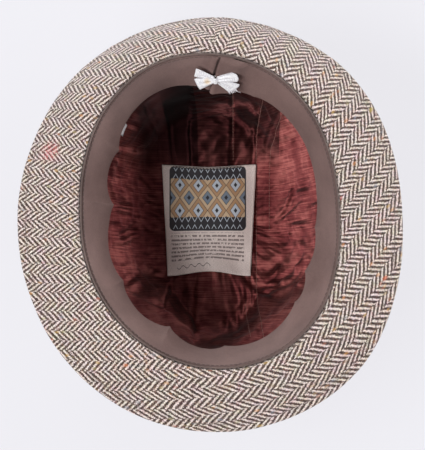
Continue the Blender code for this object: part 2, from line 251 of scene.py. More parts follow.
def face_normal(face, degrees, place, turn=0.5, along=0.02):
    """Out of the hat, square to a face."""
    round_it = face(degrees + turn, place) - face(degrees - turn, place)
    normal = np.cross(face(degrees, place + along) - face(degrees, place), round_it)
    length = np.linalg.norm(normal, axis=-1, keepdims=True)
    return np.where(length > 1e-6, normal / np.maximum(length, 1e-6), (0.0, 0.0, -1.0))


def moved_in(face, distance):
    """The face moved towards the inside of the hat, by a distance or by a rule that gives it."""

    def inner(degrees, place):
        """A point of the moved face."""
        away = distance(degrees, place) if callable(distance) else distance
        away = np.broadcast_to(away, np.shape(degrees))
        return face(degrees, place) - face_normal(face, degrees, place) * away[..., None]

    return inner


def outline_middle():
    """The middle of the box round the brim's edge, which is the frame's origin."""
    edge = brim_face(np.linspace(0.0, 360.0, 61), 1.0)
    x, y = edge[:, 0], edge[:, 1]
    return np.array([(x.min() + x.max()) / 2.0, (y.min() + y.max()) / 2.0, 0.0])


OPENING_MIDDLE = -outline_middle()  # in the frame
OPENING_X = float(OPENING_MIDDLE[0]) * MM  # the same, in metres
SECTION_STEPS = np.linspace(0.0, LAST_PLACE, 400)


def lengths_along(line):
    """How far along a line each of its points is."""
    return np.r_[0.0, np.cumsum(np.linalg.norm(np.diff(line, axis=0), axis=1))]


def between(spots, lengths, values):
    """A line's points, or vectors at them, at spots between the lengths along it."""
    return np.stack([np.interp(spots, lengths, column) for column in values.T], axis=-1)


def along_section(place):
    """Millimetres along the crown's section from its rim, at the side of the hat."""
    lengths = lengths_along(crown_face(np.zeros(len(SECTION_STEPS)), SECTION_STEPS))
    return np.interp(place, SECTION_STEPS, lengths)


def even_places(start, count):
    """Places at even distances along the section, from one of them to the middle of the tip."""
    lengths = along_section(SECTION_STEPS)
    return np.interp(np.linspace(along_section(start), lengths[-1], count), lengths, SECTION_STEPS)


def rough(points, size, seed=0.0, detail=2):
    """Soft noise from about -1 to 1 at points, with bumps of that size."""
    shift = Vector((seed * 17.3, seed * 7.1, seed * 3.7))
    return np.array([noise.fractal(Vector(point) / size + shift, 1.0, 2.0, detail) for point in points])


def rough_vector(points, size, seed):
    """Three of them, to warp other noise by."""
    return np.stack([rough(points, size, seed + k, 1) for k in range(3)], axis=-1)


# ---- Making pieces ----
def as_data(name, mesh):
    """Keeps a finished bmesh under a name."""
    data = bpy.data.meshes.new(name)
    mesh.to_mesh(data)
    mesh.free()
    return data


def new_object(name, data):
    """Puts a mesh, a curve, a lamp or a camera into the scene."""
    made = bpy.data.objects.new(name, data)
    bpy.context.scene.collection.objects.link(made)
    return made


def laid(name, point, columns, rows, **cuts):
    """A grid of cloth laid over point(column, row), closed where its sides meet.
    Each of the cuts gives the points' places in the flat cloth, in millimetres, and becomes a UV map."""
    across, along = len(columns) - 1, len(rows) - 1
    mesh = bmesh.new()
    bmesh.ops.create_grid(mesh, x_segments=across, y_segments=along, size=0.5)
    data = as_data(name, mesh)
    plan = np.empty(3 * len(data.vertices))
    data.vertices.foreach_get("co", plan)
    plan = plan.reshape(-1, 3)
    column = np.asarray(columns, dtype=float)[np.rint((plan[:, 0] + 0.5) * across).astype(int)]
    row = np.asarray(rows, dtype=float)[np.rint((plan[:, 1] + 0.5) * along).astype(int)]
    data.vertices.foreach_set("co", ((point(column, row) + OPENING_MIDDLE) * MM).ravel())
    corners = np.empty(len(data.loops), dtype=int)
    data.loops.foreach_get("vertex_index", corners)
    for cut_name, cut in cuts.items():
        flat = cut(column, row)
        data.uv_layers.new(name=cut_name).uv.foreach_set("vector", flat[corners].ravel())
    mesh = bmesh.new()
    mesh.from_mesh(data)
    bmesh.ops.remove_doubles(mesh, verts=mesh.verts, dist=0.01 * MM)
    mesh.to_mesh(data)
    mesh.free()
    return data


def add_piece(data, finish, slot, *nodes):
    """Turns a mesh or curve into a finished piece of the same name, which stands for its nodes of the frame."""
    data.materials.clear()
    data.materials.append(finish)
    piece = new_object(data.name, data)
    if piece.type == "MESH":
        data.shade_smooth()
    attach(piece, "root")
    if nodes:
        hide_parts(*nodes)
    return piece


def give_thickness(piece, thickness, offset=-1):
    """offset: -1 keeps the modelled face and adds the wall behind it, 0 puts half of it on each side."""
    solid = piece.modifiers.new("wall", "SOLIDIFY")
    solid.thickness = thickness * MM
    solid.offset = offset
    solid.use_even_offset = False
    solid.use_rim = True


def soft_edges(piece, width):
    """Rounds the cut edges of a piece."""
    edge = piece.modifiers.new("edges", "BEVEL")
    edge.width = width * MM
    edge.segments = 2
    edge.limit_method = "ANGLE"
    edge.angle_limit = math.radians(50.0)


def thread(name, runs, radius, finish, slot):
    """Lengths of thread, each through its own points."""
    curve = bpy.data.curves.new(name, "CURVE")
    curve.dimensions = "3D"
    curve.bevel_depth = 1.0  # times each point's own radius
    curve.bevel_resolution = 1
    curve.use_fill_caps = True
    for run in runs:
        line = curve.splines.new("POLY")
        line.points.add(len(run) - 1)
        places = (np.asarray(run) + OPENING_MIDDLE) * MM
        line.points.foreach_set("co", np.c_[places, np.ones(len(run))].ravel())
        line.points.foreach_set("radius", np.full(len(run), radius * MM))
    return add_piece(curve, finish, slot)


def stitches(face, degrees, place, proud, sunk=0.3, share=0.62):
    """A row of stitches along a face at one place of it: each rises from the cloth, lies on it and goes back in."""
    places = np.full(len(degrees), place)
    line = face(degrees, places)
    out = face_normal(face, degrees, places)
    lengths = lengths_along(line)
    height = np.array([-sunk, proud * 0.7, proud, proud * 0.7, -sunk])
    runs = []
    for start in np.arange(0.0, lengths[-1] - STITCH_LENGTH, STITCH_LENGTH):
        spots = start + STITCH_LENGTH * share * np.array([0.0, 0.12, 0.5, 0.88, 1.0])
        runs.append(between(spots, lengths, line) - between(spots, lengths, out) * height[:, None])
    return runs


# ---- Materials ----
def colour(code):
    """An sRGB hex colour as linear RGBA."""
    parts = [int(code[k : k + 2], 16) / 255.0 for k in (1, 3, 5)]
    return (*(part / 12.92 if part <= 0.04045 else ((part + 0.055) / 1.055) ** 2.4 for part in parts), 1.0)


def wire(node, inputs):
    """Gives a node's inputs, in turn or by number or name, a link, a value or a hex colour each."""
    for socket, value in inputs.items() if isinstance(inputs, dict) else enumerate(inputs):
        if isinstance(value, bpy.types.NodeSocket):
            node.id_data.links.new(value, node.inputs[socket])
        else:
            node.inputs[socket].default_value = colour(value) if isinstance(value, str) else value


def add_node(tree, kind, inputs=(), operation=None, out=0, stops=(), banded=False, **settings):
    """Adds a node with its settings, inputs and a ramp's stops, and gives back one output, or all of them."""
    made = tree.nodes.new(kind)
    if operation:
        settings["operation"] = operation
    for key, value in settings.items():
        setattr(made, key, value)
    wire(made, inputs)
    for place, _ in stops[2:]:
        made.color_ramp.elements.new(place)
    for point, (place, code) in zip(made.color_ramp.elements if stops else (), stops):
        point.position = place
        point.color = colour(code)
    if banded:
        made.color_ramp.interpolation = "CONSTANT"
    return made.outputs if out is None else made.outputs[out]


def new_material(name, **shader_values):
    """A material, what adds a node to it, and its shader."""
    made = bpy.data.materials.new(name)
    made.use_nodes = True
    shader = made.node_tree.nodes["Principled BSDF"]
    wire(shader, {socket.replace("_", " "): value for socket, value in shader_values.items()})
    return made, partial(add_node, made.node_tree), shader


MATH = "ShaderNodeMath"
VECTOR_MATH = "ShaderNodeVectorMath"
SPLIT = "ShaderNodeSeparateXYZ"
SPLIT_COLOUR = "ShaderNodeSeparateColor"
NOISE = "ShaderNodeTexNoise"
RAMP = "ShaderNodeValToRGB"
RANGE = "ShaderNodeMapRange"
MIX = "ShaderNodeMix"
BUMP = "ShaderNodeBump"
UV_MAP = "ShaderNodeUVMap"
COORDINATES = "ShaderNodeTexCoord"
SOFT = {"interpolation_type": "SMOOTHSTEP"}
COLOURS = {"data_type": "RGBA", "out": 2}

COLUMN_WIDTH = 6.5  # of the herringbone
WARP_SPACING = 0.955  # about ten yarns to the centimetre, spun thick enough to show
WEFT_SPACING = 1.085
WEFTS_IN_REPEAT = 4  # a 2/2 twill: each yarn goes over two and under two
RED_FIBRES_AT = (-105.0, 45.0, 100.0)  # a place on the brim where red wool was spun in, in the frame
DYED_WOOL = ((0.0, "#D98A4A"), (0.25, "#C7A24E"), (0.45, "#B7635A"), (0.65, "#A59A62"), (0.9, "#8E93A0"))
BRIGHT_WOOL = ((0.0, "#D0583A"), (0.3, "#D08A3C"), (0.5, "#C6464A"), (0.75, "#CF7A48"), (0.95, "#B39E48"))


def wool_tweed(name, has_strip=False):
    """Carded wool tweed, woven in a 2/2 herringbone twill, cream warp on a dark brown weft: slanting cream and
    dark strokes that turn at each column, matt and hairy, with bright neps of dyed wool spun into the yarn."""
    made, add, shader = new_material(name, Roughness=0.93, Sheen_Weight=0.35, Sheen_Roughness=0.5, IOR=1.45)
    cut = add(UV_MAP, uv_map="cut")
    place = add(COORDINATES, out="Object")
    if has_strip:  # the crown's middle strip is cut the other way
        aside = add(MATH, (add(SPLIT, (place,)), OPENING_X), "SUBTRACT")
        aside = add(MATH, (aside,), "ABSOLUTE")
        in_strip = add(MATH, (aside, STRIP_HALF_WIDTH * MM), "LESS_THAN")
        cut = add(MIX, {0: in_strip, 4: cut, 5: add(UV_MAP, uv_map="other_cut")}, out=1, data_type="VECTOR")

    # hand-woven cloth isn't quite straight, and its yarns are hairy
    cloth = cut
    for reach, scale, detail, roughness in ((2.0, 0.03, 2.0, 0.5), (0.95, 1.9, 3.0, 0.75)):
        sway = add(NOISE, {"Vector": cut, "Scale": scale, "Detail": detail, "Roughness": roughness}, out="Color")
        twice = (2.0 * reach, 2.0 * reach, 0.0)
        sway = add(VECTOR_MATH, (sway, twice, (-reach, -reach, 0.0)), "MULTIPLY_ADD")
        cloth = add(VECTOR_MATH, (cloth, sway), "ADD")
    across, along, _ = add(SPLIT, (cloth,), out=None)

    # the twill: one weft to the side for each warp, turned round in every other column, with a clean break
    column = add(MATH, (across, COLUMN_WIDTH), "DIVIDE")
    column = add(MATH, (column,), "FLOOR")
    turned = add(MATH, (column, 2.0), "FLOORED_MODULO")
    warps = add(MATH, (across, COLUMN_WIDTH), "PINGPONG")
    warps = add(MATH, (warps, WARP_SPACING), "DIVIDE")
    wefts = add(MATH, (along, WEFT_SPACING), "DIVIDE")
    wefts = add(MATH, (turned, WEFTS_IN_REPEAT / 2.0, wefts), "MULTIPLY_ADD")
    steps = []
    for yarns in (warps, wefts):  # partly stepped, so that the strokes are made of yarns
        whole = add(MATH, (yarns,), "FLOOR")
        whole = add(MATH, (whole, 0.5), "ADD")
        steps.append(add(MIX, {0: 0.6, 2: yarns, 3: whole}))
    twill = add(MATH, steps, "ADD")
    twill = add(MATH, (twill, WEFTS_IN_REPEAT), "DIVIDE")
    stroke = add(MATH, (twill, 0.5), "PINGPONG")  # 0 in the dark, 0.5 in the cream
    ragged = add(NOISE, {"Vector": cut, "Scale": 1.0, "Detail": 2.0, "Roughness": 0.6})
    ragged = add(MATH, (ragged, 0.5), "SUBTRACT")
    stroke = add(MATH, (ragged, 0.55, stroke), "MULTIPLY_ADD")
    cream_over = add(RANGE, (stroke, 0.238, 0.318), **SOFT)

    # yarns of mixed fibres
    mixed = add(NOISE, {"Vector": cloth, "Scale": 0.55, "Detail": 3.0, "Roughness": 0.7})
    other = add(NOISE, {"Vector": cut, "Scale": 0.7, "Detail": 3.0, "Roughness": 0.7})
    blended = add(NOISE, {"Vector": cloth, "Scale": 0.16, "Detail": 4.0, "Roughness": 0.7}, out="Color")
    cream = add(RAMP, (mixed,), stops=((0.28, "#96837A"), (0.42, "#CBB9AF"), (0.56, "#F2E5DE"), (0.75, "#B9A6A3")))
    cream = add(MIX, {0: 0.34, 6: cream, 7: blended}, blend_type="OVERLAY", **COLOURS)
    dark = add(RAMP, (other,), stops=((0.3, "#241815"), (0.5, "#47342F"), (0.7, "#8A6B5C")))
    dark = add(MIX, {0: 0.5, 6: dark, 7: blended}, blend_type="OVERLAY", **COLOURS)
    woven = add(MIX, {0: cream_over, 6: dark, 7: cream}, **COLOURS)

    # neps, longer than wide: small ones that only tint the yarn, and a few bright ones
    long_way = add(VECTOR_MATH, (cloth, (1.0, 0.55, 1.0)), "MULTIPLY")
    for spacing, radius, strength, wools in ((4.2, 1.25, 0.5, DYED_WOOL), (13.0, 1.7, 0.72, BRIGHT_WOOL)):
        spots = add("ShaderNodeTexVoronoi", {"Vector": long_way, "Scale": 1.0 / spacing}, out=None, feature="F1")
        there, wool, _ = add(SPLIT_COLOUR, (spots["Color"],), out=None)
        there = add(MATH, (there, 0.55), "LESS_THAN")
        near = add(RANGE, (spots["Distance"], radius / spacing, 0.45 * radius / spacing))
        near = add(MATH, (near, there), "MULTIPLY")
        near = add(MATH, (near, strength), "MULTIPLY")
        woven = add(MIX, {0: near, 6: woven, 7: add(RAMP, (wool,), stops=wools)}, **COLOURS)

    # one patch of red fibres on the brim
    away = add(VECTOR_MATH, (place, [MM * size for size in RED_FIBRES_AT]), "DISTANCE", out="Value")
    red = add(RANGE, (away, 0.0105, 0.001), **SOFT)
    fibres = add(RANGE, (mixed, 0.45, 0.68, 0.05, 0.95))
    red = add(MATH, (red, fibres), "MULTIPLY")
    woven = add(MIX, {0: red, 6: woven, 7: "#DB5A62"}, **COLOURS)

    # relief: round yarns under short hairs
    fuzz = add(NOISE, {"Vector": cut, "Scale": 3.0, "Detail": 3.0, "Roughness": 0.7})
    relief = add(MATH, (stroke, 1.2, fuzz), "MULTIPLY_ADD")
    raised = add(BUMP, {"Strength": 0.55, "Distance": 0.35 * MM, "Height": relief})
    wire(shader, {"Base Color": woven, "Normal": raised})
    return made


# The satin's panels, in metres in the frame as its pattern reads them: seams in x, and their softness
PANEL_SEAMS = ((0.0165, 0.6), (0.0325, 0.35))  # right of the panel with painted shade, and how much painted shade there is up to each
SEAM_SOFTNESS = 0.002
# the colour that the painted shade on the satin goes towards
SHADED_SATIN_COLOUR = "#22090D"


def ribbed_satin():
    """Acetate satin with a slub weft: deep burgundy, with a shine in the dye's own colour, as a metal's is. Its
    floats run from front to back in the side panels and across the hat in the strip between them, so a panel
    shines where they lie level and goes dark where they dip."""
    made, add, shader = new_material(
        "ribbed_satin", Metallic=0.92, Roughness=0.68, Anisotropic=0.9, Sheen_Weight=0.06, Sheen_Roughness=0.5, IOR=1.47
    )
    place = add(COORDINATES, out="Object")
    x, y, z = add(SPLIT, (place,), out=None)
    # slubs 0.8 mm wide and 25 mm long, coarser than the floats, so that they show, and clouds of about 14 mm
    ribs = add(VECTOR_MATH, (add(UV_MAP, uv_map="cut"), (0.04, 1.25, 0.0)), "MULTIPLY")
    ribs = add(NOISE, {"Vector": ribs, "Scale": 1.0, "Detail": 2.0, "Roughness": 0.5})
    cloudy = add(NOISE, {"Vector": place, "Scale": 70.0, "Detail": 6.0, "Roughness": 0.65})
    cloudy = add(RANGE, (cloudy, 0.32, 0.68, 0.0, 0.45))
    tone = add(MATH, (ribs, 1.25, cloudy), "MULTIPLY_ADD")

    # painted shade: the satin is painted dim in a band across the middle of the hat, at its side walls
    side_walls_shade = add(MATH, (y, 0.010), "SUBTRACT")
    side_walls_shade = add(MATH, (side_walls_shade,), "ABSOLUTE")
    side_walls_shade = add(RANGE, (side_walls_shade, 0.014, 0.034, -0.17, -0.04), **SOFT)
    tone = add(MATH, (tone, side_walls_shade), "ADD")
    satin = add(RAMP, (tone,), stops=((0.42, "#61292C"), (0.72, "#874343"), (0.98, "#AE6762")))

    # the strip between the two long seams, which lean apart as they rise; its floats are turned where it lies level
    aside = add(MATH, (x, OPENING_X), "SUBTRACT")
    aside = add(MATH, (aside,), "ABSOLUTE")
    aside = add(MATH, (z, -0.083, aside), "MULTIPLY_ADD")
    strip = add(RANGE, (aside, 0.0308, 0.0300))
    turned = add(RANGE, (z, 0.055, 0.030), **SOFT)
    for share in (strip, 0.25):
        turned = add(MATH, (turned, share), "MULTIPLY")

    # painted shade: its back left part is painted dim, up to a line that leans, and the panels beyond are painted
    # between the two
    lean = add(MATH, (z, 0.06, x), "MULTIPLY_ADD")
    painted_shade = add(RANGE, (lean, -0.0075, -0.0095), **SOFT)
    for seam, share in PANEL_SEAMS:
        panel = add(RANGE, {0: x, 1: seam, 2: seam - SEAM_SOFTNESS, 4: share})
        painted_shade = add(MATH, (painted_shade, panel), "MAXIMUM")
    # painted shade also in the back right corner, high on the wall
    corner = add(MATH, (x, 0.032, 0.0157), "COMPARE")
    upper = add(RANGE, {0: y, 1: 0.042, 2: 0.060, 4: 0.75}, **SOFT)
    corner = add(MATH, (corner, upper), "MULTIPLY")
    painted_shade = add(MATH, (painted_shade, corner), "MAXIMUM")
    left = add(RANGE, (x, -0.061, -0.046), **SOFT)
    behind = add(RANGE, (y, 0.030, 0.062, 0.5, 1.0), **SOFT)
    for share in (left, behind, 0.92):
        painted_shade = add(MATH, (painted_shade, share), "MULTIPLY")

    # painted shade: the strip is painted dimmer than the panels, most of all at the back
    strip_painted_shade = add(RANGE, (y, 0.0, 0.05, 0.15, 0.5), **SOFT)
    seam = PANEL_SEAMS[0][0]
    for share in (strip, add(RANGE, {0: x, 1: seam, 2: seam - SEAM_SOFTNESS, 3: 0.25})):
        strip_painted_shade = add(MATH, (strip_painted_shade, share), "MULTIPLY")
    for share in (painted_shade, strip_painted_shade):
        satin = add(MIX, {0: share, 6: satin, 7: SHADED_SATIN_COLOUR}, **COLOURS)
    wire(shader, {
        "Base Color": satin,
        "Anisotropic Rotation": turned,
        "Normal": add(BUMP, {"Strength": 0.45, "Distance": 0.18 * MM, "Height": ribs}),
        "Tangent": add("ShaderNodeTangent", direction_type="UV_MAP", uv_map="plan"),
    })
    return made


def coated_band_cloth(name, base, light):
    """Coated cotton sweatband cloth, calendered: matt brown-grey with a faint grain and rubbed, paler patches."""
    made, add, shader = new_material(name, Roughness=0.72, Sheen_Weight=0.12, Sheen_Roughness=0.5, IOR=1.46)
    place = add(COORDINATES, out="Object")
    # rubbed patches of about 35 mm, and a grain of about 1 mm, coarser than the yarns, so that it shows
    cloudy = add(NOISE, {"Vector": place, "Scale": 28.0, "Detail": 4.0, "Roughness": 0.6})
    grain = add(NOISE, {"Vector": place, "Scale": 900.0, "Detail": 2.0})
    tone = add(MATH, (grain, 0.35, cloudy), "MULTIPLY_ADD")
    wire(shader, {
        "Base Color": add(RAMP, (tone,), stops=((0.45, base), (0.9, light))),
        "Normal": add(BUMP, {"Strength": 0.3, "Distance": 0.1 * MM, "Height": grain}),
    })
    return made


def sewing_thread(name, base):
    """Spun polyester sewing thread: a dull, slightly hairy line of one colour, twisted."""
    made, add, shader = new_material(name, Roughness=0.6, Sheen_Weight=0.2)
    # twists 0.4 mm long
    plies = add(NOISE, {"Vector": add(COORDINATES, out="Object"), "Scale": 2500.0, "Detail": 1.0})
    tone = add(MATH, (plies, 0.5, 0.75), "MULTIPLY_ADD")
    wire(shader, {"Base Color": add(VECTOR_MATH, {0: colour(base)[:3], 3: tone}, "SCALE")})
    return made


def white_grosgrain():
    """Rayon grosgrain ribbon: bright white, with a fine rib across its length, a soft shine and one aged spot."""
    made, add, shader = new_material("white_grosgrain", Roughness=0.5, Sheen_Weight=0.25, Sheen_Roughness=0.4)
    # ribs 0.6 mm apart
    ribs = add(VECTOR_MATH, (add(UV_MAP, uv_map="cut"), (0.4, 1.6, 0.0)), "MULTIPLY")
    ribs = add(NOISE, {"Vector": ribs, "Scale": 1.0, "Detail": 2.0})
    ribbon = add(RAMP, (ribs,), stops=((0.3, "#DAD8E2"), (0.65, "#FFFFFF")))
    spot = [float(size) * MM for size in bow_point(*AGED_SPOT, 0.0) + OPENING_MIDDLE]
    away = add(VECTOR_MATH, (add(COORDINATES, out="Object"), spot), "DISTANCE", out="Value")
    aged = add(RANGE, (away, 0.0036, 0.0004), **SOFT)
    aged = add(MATH, (aged, 0.75), "MULTIPLY")
    wire(shader, {
        "Base Color": add(MIX, {0: aged, 6: ribbon, 7: "#DDB676"}, **COLOURS),
        "Normal": add(BUMP, {"Strength": 0.3, "Distance": 0.1 * MM, "Height": ribs}),
    })
    return made


# The label's woven design, in millimetres from its middle: each box by its middle and half its size
PANEL = ((-1.0, 15.9), (27.5, 23.7))
PANEL_CORNER = 4.0
BORDERS = ((-1.0, 15.9), (25.0, 22.2))
FIELD = ((-1.0, 16.2), (26.6, 14.2))
FIELD_HALF_DIAMOND = (6.65, 9.5)
BORDER_HALF_DIAMOND = (2.3, 18.6)
RULES = ((-1.0, -19.5), (26.0, 10.4))
RULE_SPACING = 2.9
WAVE = ((-11.0, -34.6), (12.0, 3.0))
WAVE_TURN, WAVE_HEIGHT, WAVE_HALF_WIDTH = 1.1, 1.1, 0.28  # radians to the millimetre, and half its line's width
CHAIN_LINE = (0.73, 0.11)  # of a border's small diamonds: its middle and half its width, in shares of half a diamond
DARK_THREAD, SLATE_THREAD, TAN_THREAD, SAND_THREAD, PALE_THREAD = "#242126", "#6F7A88", "#AA8664", "#BFA688", "#B5BCC6"


def damask_label():
    """Damask-woven polyester label: cream ground with a dark rounded panel of diamonds in slate, tan and sand,
    plain broken rules below it, and a fine weave over everything."""
    made, add, shader = new_material("damask_label", Roughness=0.7, Sheen_Weight=0.15, Sheen_Roughness=0.4)
    cut = add(UV_MAP, uv_map="cut")
    flat = add(SPLIT, (cut,), out=None)
    # wefts of about 0.35 mm, as fine as can show, and soiled patches of about 20 mm
    weave = add(VECTOR_MATH, (cut, (1.0, 2.6, 0.0)), "MULTIPLY")
    weave = add(NOISE, {"Vector": weave, "Scale": 1.1, "Detail": 2.0})
    soiled = add(NOISE, {"Vector": cut, "Scale": 0.05, "Detail": 3.0})
    ground = add(MATH, (soiled, 0.6, weave), "MULTIPLY_ADD")

    def inside(middle, half_size, corner=0.3):
        """1 inside a rounded box, 0 outside it."""
        away = add(VECTOR_MATH, (cut, (*middle, 0.0)), "SUBTRACT")
        away = add(VECTOR_MATH, (away,), "ABSOLUTE")
        inner = (half_size[0] - corner, half_size[1] - corner, 0.0)
        away = add(VECTOR_MATH, (away, inner), "SUBTRACT")
        away = add(VECTOR_MATH, (away, (0.0, 0.0, 0.0)), "MAXIMUM")
        away = add(VECTOR_MATH, (away,), "LENGTH", out="Value")
        return add(RANGE, (away, corner + 0.12, corner - 0.12))

    def folded(axis, middle, pitch):
        """Steps of that pitch from the middle, folded to run from 0 to 1 and back."""
        steps = add(MATH, (flat[axis], middle), "SUBTRACT")
        steps = add(MATH, (steps, pitch), "DIVIDE")
        return add(MATH, (steps, 1.0), "PINGPONG")

    # a chain of small open diamonds along the panel's two borders
    border = add(RANGE, (folded(1, FIELD[0][1], BORDER_HALF_DIAMOND[1]), 0.78, 1.0, 0.0, 1.0))
    chain = add(MATH, (folded(0, PANEL[0][0], BORDER_HALF_DIAMOND[0]), border), "ADD")
    chain = add(MATH, (chain, *CHAIN_LINE), "COMPARE")
    chain = add(MATH, (chain, inside(*BORDERS)), "MULTIPLY")

    # the field: inside each diamond the folded steps across and along add up to less than one
    steps = [folded(axis, FIELD[0][axis], FIELD_HALF_DIAMOND[axis]) for axis in (0, 1)]
    total = add(MATH, steps, "ADD")
    total = add(MATH, (total, 0.5), "MULTIPLY")
    diamonds = add(RAMP, (total,), banded=True, stops=(
        (0.0, DARK_THREAD), (0.1, SLATE_THREAD), (0.27, DARK_THREAD), (0.3, SAND_THREAD), (0.485, DARK_THREAD),
        (0.515, TAN_THREAD), (0.7, DARK_THREAD), (0.73, PALE_THREAD), (0.9, DARK_THREAD),
    ))

    # plain broken rules, and one wavy line at the foot
    rules = add(MATH, (folded(1, 0.0, RULE_SPACING / 2.0), 0.5), "LESS_THAN")
    broken = add(VECTOR_MATH, (cut, (0.8, 0.3, 0.0)), "MULTIPLY")
    broken = add(NOISE, {"Vector": broken, "Scale": 1.0, "Detail": 0.0})
    for share in (add(RANGE, (broken, 0.36, 0.46)), inside(*RULES), 0.8):
        rules = add(MATH, (rules, share), "MULTIPLY")
    wave = add(MATH, (flat[0], WAVE_TURN), "MULTIPLY")
    wave = add(MATH, (wave,), "SINE")
    wave = add(MATH, (wave, WAVE_HEIGHT, flat[1]), "MULTIPLY_ADD")
    wave = add(MATH, (wave, WAVE[0][1], WAVE_HALF_WIDTH), "COMPARE")
    wave = add(MATH, (wave, inside(*WAVE)), "MULTIPLY")

    shown = add(RAMP, (ground,), stops=((0.5, "#BCACA7"), (0.9, "#D8CAC4")))
    for mask, above in (
        (inside(*PANEL, PANEL_CORNER), DARK_THREAD), (chain, PALE_THREAD), (inside(*FIELD), diamonds),
        (rules, "#5B4A48"), (wave, "#4A3B3B"),
    ):
        shown = add(MIX, {0: mask, 6: shown, 7: above}, **COLOURS)
    toned = add(MATH, (weave, 0.5, 0.75), "MULTIPLY_ADD")
    wire(shader, {
        "Base Color": add(VECTOR_MATH, {0: shown, 3: toned}, "SCALE"),
        "Normal": add(BUMP, {"Strength": 0.3, "Distance": 0.1 * MM, "Height": weave}),
    })
    return made


# ---- Brim ----
def brim_cut(degrees, turn):
    """The brim is cut as a flat C, so the herringbone swings round the hat. Its other layer is a second cut."""
    outwards = np.minimum(turn, 3.0 - turn)
    width = BRIM_WIDTH * np.clip(outwards, 0.0, 1.0) + np.pi * BRIM_WALL / 2.0 * np.clip(outwards - 1.0, 0.0, 0.5)
    eased_in = LEFT_CUT_TURN * np.maximum(LEFT_FROM - degrees, 0.0)
    swing = np.radians(GRAIN_DEGREES + CUT_TURN * (degrees - 270.0) - eased_in)
    radius = CUT_RADIUS + width
    layer = np.where(turn > 1.5, SECOND_LAYER, 0.0)
    return np.stack([radius * np.cos(swing) + layer, radius * np.sin(swing)], axis=-1)


def brim_section(degrees, turn):
    """0 to 1 out along the face beside the opening, to 2 round the outer edge, to 3 back along the other face, at 4
    closed."""
    half = BRIM_WALL / 2.0
    share = np.clip(np.minimum(turn, 3.0 - turn), 0.0, 1.0)
    share = BRIM_FROM + share * (1.0 - half / BRIM_WIDTH - BRIM_FROM)
    slope = brim_slope(degrees, share)
    square = polar(degrees, np.sin(slope), np.cos(slope))
    outward = polar(degrees, np.cos(slope), -np.sin(slope))
    lean = np.where(turn < 4.0, (np.clip(turn, 1.0, 2.0) - 1.0) * np.pi, 0.0)
    from_edge = BRIM_WIDTH * (1.0 - share)
    face = brim_face(degrees, share)
    from_seam = np.radians(angle_between(degrees, BACK_SEAM)) * np.linalg.norm(face[..., :2], axis=-1)
    puckers = 0.75 + 0.25 * np.cos(from_seam * 2.0 * np.pi / STITCH_LENGTH)
    pressed = 0.5 * bump((from_edge - EDGE_STITCHING) / PRESSED_HALF_WIDTH) * puckers
    pressed = pressed + 0.45 * bump(from_seam / PRESSED_HALF_WIDTH)
    uneven = 0.45 * rough(face, 26.0, 1.0)
    around_edge = (square * np.cos(lean)[..., None] + outward * np.sin(lean)[..., None]) * (half - pressed)[..., None]
    return face - square * (half - uneven[..., None]) + around_edge


def make_brim(finish):
    """One closed skin of tweed round both of the brim's faces and its outer edge."""
    degrees = np.linspace(BACK_SEAM, BACK_SEAM + 360.0, 561)
    face = np.r_[np.linspace(0.0, 0.8, 24), np.linspace(0.8, 1.0, 16)[1:]]
    # just past 1.5, half way round the edge, the cut is the second layer's
    edge = np.r_[np.linspace(1.0, 1.5, 4)[1:], np.linspace(1.5001, 2.0, 4)]
    turn = np.r_[face, edge, (3.0 - face)[::-1][1:], 4.0]
    piece = add_piece(laid("brim_cloth", brim_section, degrees, turn, cut=brim_cut), finish, "tweed", "brim")


def sew_brim(finish):
    """The row of stitches near the brim's edge, on both of its faces."""
    degrees = np.linspace(BACK_SEAM, BACK_SEAM + 360.0, 1400)
    row = 1.0 - EDGE_STITCHING / BRIM_WIDTH / (1.0 - BRIM_WALL / 2.0 / BRIM_WIDTH)
    runs = [run for turn in (row, 3.0 - row) for run in stitches(brim_section, degrees, turn, -0.05)]
    thread("brim_stitching", runs, 0.22, finish, "tweed")


# ---- Crown ----
def crown_cut(degrees, place):
    """Side panels: the columns run straight down the crown."""
    return np.stack([np.radians(degrees) * SIDE_CUT_RADIUS, along_section(place)], axis=-1)


def strip_cut(degrees, place):
    """Middle strip: the columns run from front to back over the top, and down both ends."""
    ahead = np.where(np.sin(np.radians(degrees)) < 0.0, -1.0, 1.0)
    end = 90.0 * ahead
    spot = crown_face(degrees, place)
    before, round_wall = crown_face(end, place), 0.0
    for k in range(FINE_TURNS):
        here = crown_face(end + angle_between(degrees, end) * (k + 1) / FINE_TURNS, place)
        round_wall = round_wall + np.linalg.norm(here - before, axis=-1)
        before = here
    down_wall = np.abs(crown_face(end, CROWN_CORNER)[..., 1]) + along_section(CROWN_CORNER) - along_section(place)
    on_wall = eased((CROWN_CORNER + 0.5 - place) / 1.5)
    across = spot[..., 0] + (np.copysign(round_wall, spot[..., 0]) - spot[..., 0]) * on_wall
    along = np.abs(spot[..., 1]) + (down_wall - np.abs(spot[..., 1])) * on_wall
    return np.stack([across + STRIP_CUT_AT, ahead * along], axis=-1)


def crown_dents(degrees, place):
    """The cloth's unevenness and the two seams beside the middle strip, inwards."""
    spot = crown_face(degrees, place)
    seams = sum(0.55 * bump(spot[..., 0] - side * STRIP_HALF_WIDTH) for side in (-1.0, 1.0))
    uneven = rough(spot, 30.0, 2.0) * eased(place)
    return seams + 0.6 * np.where(spot[..., 2] < 1.0, np.abs(uneven), uneven)  # nothing goes below the floor


def make_crown(finish):
    """Tweed all over the crown, from the rim to the middle of its tip."""
    degrees = np.linspace(450.0, 90.0, 401)
    cloth = moved_in(crown_face, crown_dents)
    data = laid("crown_cloth", cloth, degrees, even_places(0.0, 89), cut=crown_cut, other_cut=strip_cut)
    piece = add_piece(data, finish, "tweed", "crown")
    give_thickness(piece, CROWN_WALL)


